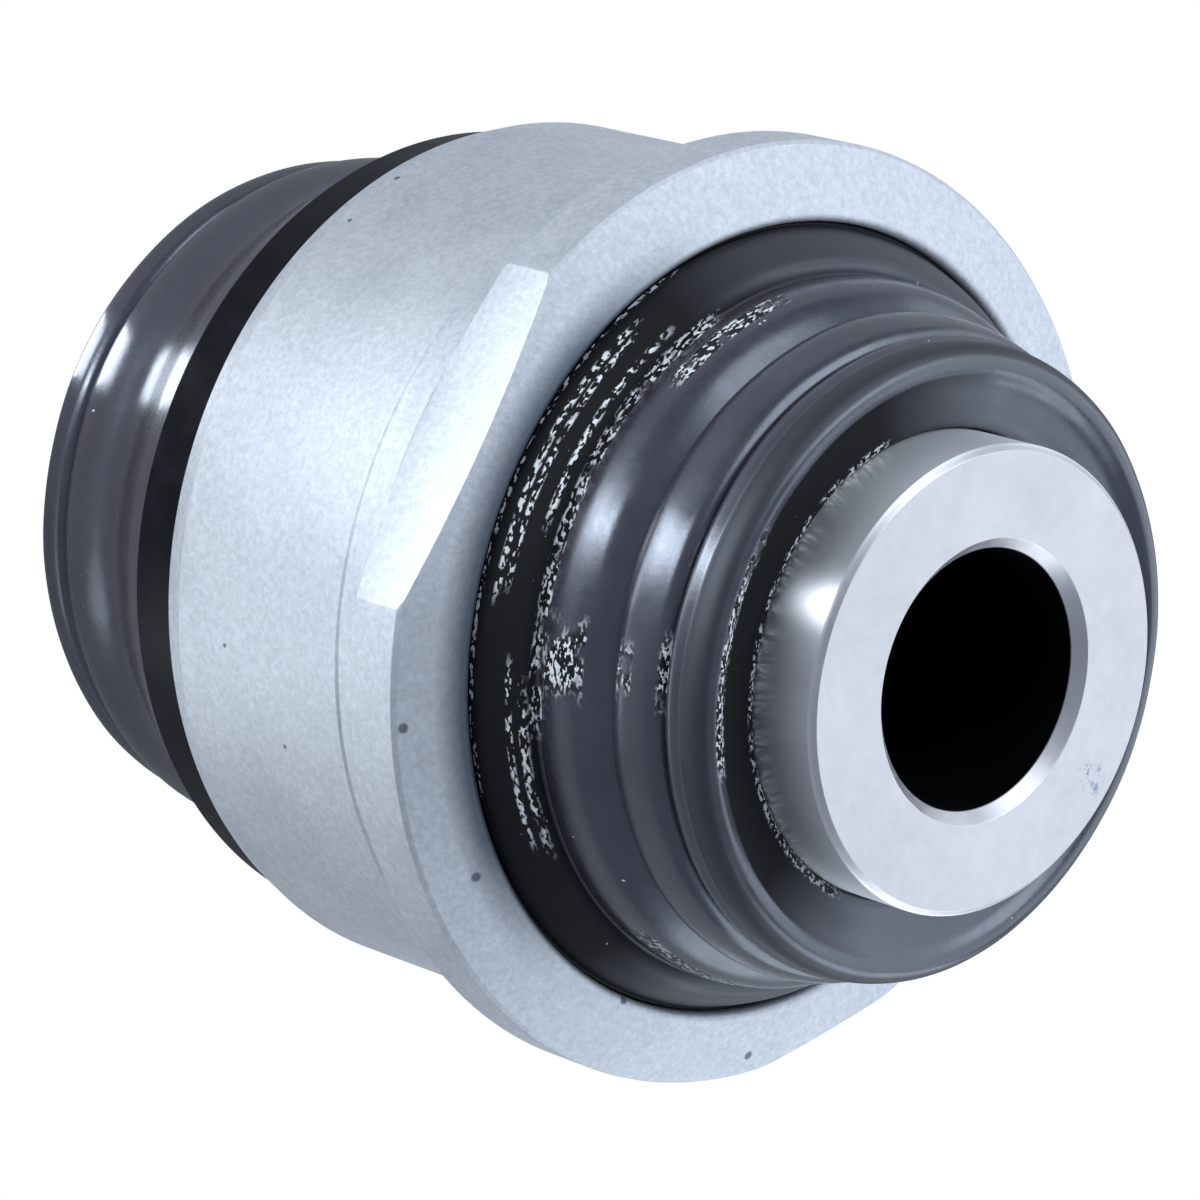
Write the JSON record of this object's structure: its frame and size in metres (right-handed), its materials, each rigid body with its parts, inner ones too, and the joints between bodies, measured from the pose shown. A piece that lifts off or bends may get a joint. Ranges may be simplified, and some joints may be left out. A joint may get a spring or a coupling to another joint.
{
  "type": "ball-joint suspension bush",
  "caption": "Press-in ball-joint bush: a through-bored ball sleeve swivels in a flanged steel body, with a rubber bellows sealing each end.",
  "frame": {"origin": "centre of the ball, halfway along the sleeve and its bolt bore", "axes": "+Z along the bolt bore towards the flanged end; the flange's large flat faces -Y"},
  "size_m": [0.0454, 0.0438, 0.052],
  "materials": {
    "zinc_coated_steel": "satin, slightly grainy zinc coat",
    "machined_steel": "fine turned, polished where the boots run",
    "bearing_plastic": "satin",
    "plain_steel": "as stamped",
    "black_steel": "black, satin",
    "boot_rubber": "smooth moulded, semi-gloss"
  },
  "bodies": {
    "housing": {"outer_housing": "zinc_coated_steel", "front_bearing_shell": "bearing_plastic", "rear_bearing_shell": "bearing_plastic", "front_closing_ring": "plain_steel", "front_clamp_ring": "black_steel", "rear_clamp_ring": "black_steel", "front_boot": "boot_rubber", "rear_boot": "boot_rubber"},
    "boot_necks": {"front_neck_ring": "plain_steel", "rear_neck_ring": "plain_steel"},
    "sleeve": {"ball_sleeve": "machined_steel"}
  },
  "joints": [
    {"name": "ball_tilt", "type": "hinge", "parent": "housing", "child": "boot_necks", "pos_m": [0, 0, 0], "axis": [1, 0, 0], "range_deg": [-12, 12], "deforming": ["front_boot", "rear_boot"]},
    {"name": "ball_spin", "type": "hinge", "parent": "boot_necks", "child": "sleeve", "pos_m": [0, 0, 0], "axis": [0, 0, 1], "continuous": true}
  ]
}
